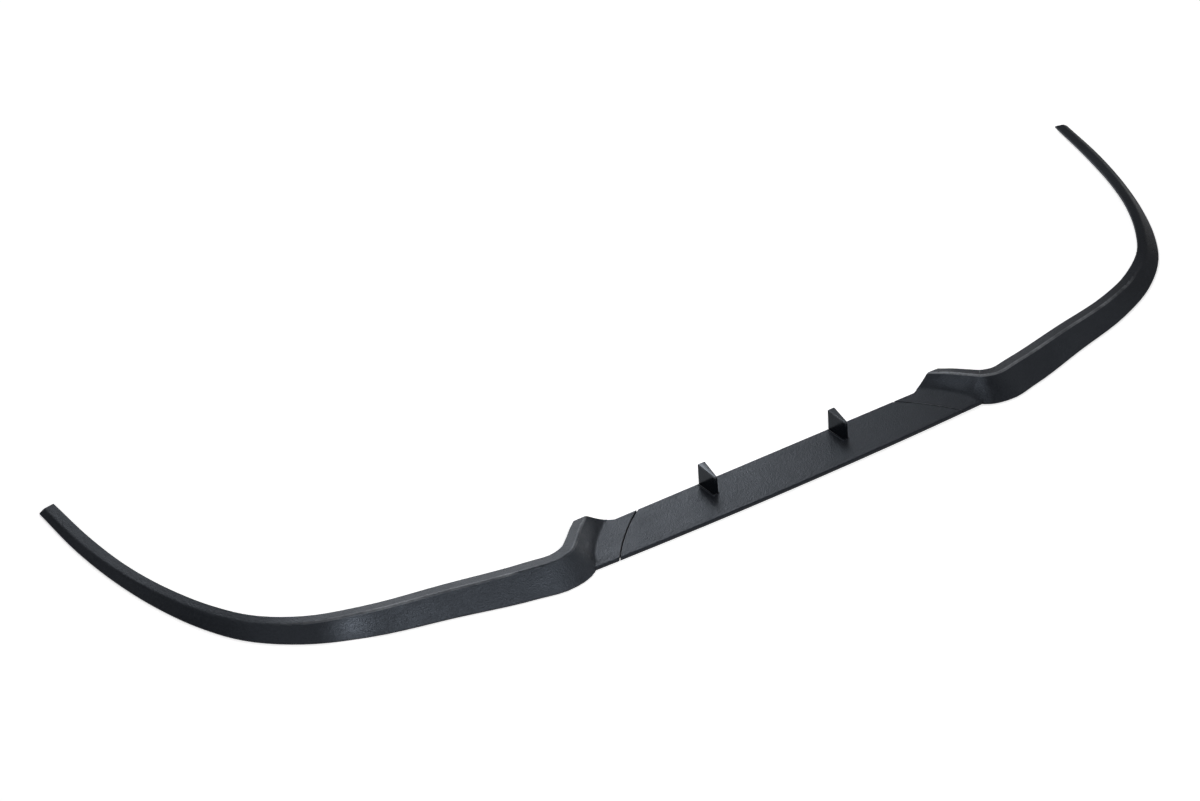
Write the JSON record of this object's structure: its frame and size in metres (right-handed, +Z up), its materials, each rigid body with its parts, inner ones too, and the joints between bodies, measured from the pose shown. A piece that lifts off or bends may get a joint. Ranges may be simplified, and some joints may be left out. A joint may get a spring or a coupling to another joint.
{
  "type": "front splitter lip",
  "caption": "Low front splitter lip for a car bumper: a flat bowed plate with upright locating fins, and sweeping tapered wings that curve back to pointed tips.",
  "frame": {"origin": "on the ground below the middle of the lip's bounding box", "axes": "+X across the car to the lip's right tip as seen from above with the front towards -Y, +Y towards the rear of the car, +Z up"},
  "size_m": [1.65, 0.4662, 0.032],
  "materials": {
    "abs_plate": "fine-grained satin black moulding",
    "abs_wing": "fine-grained satin black moulding"
  },
  "bodies": {
    "root": {"centre_plate": "abs_plate", "left_wing": "abs_wing", "right_wing": "abs_wing"}
  },
  "joints": []
}
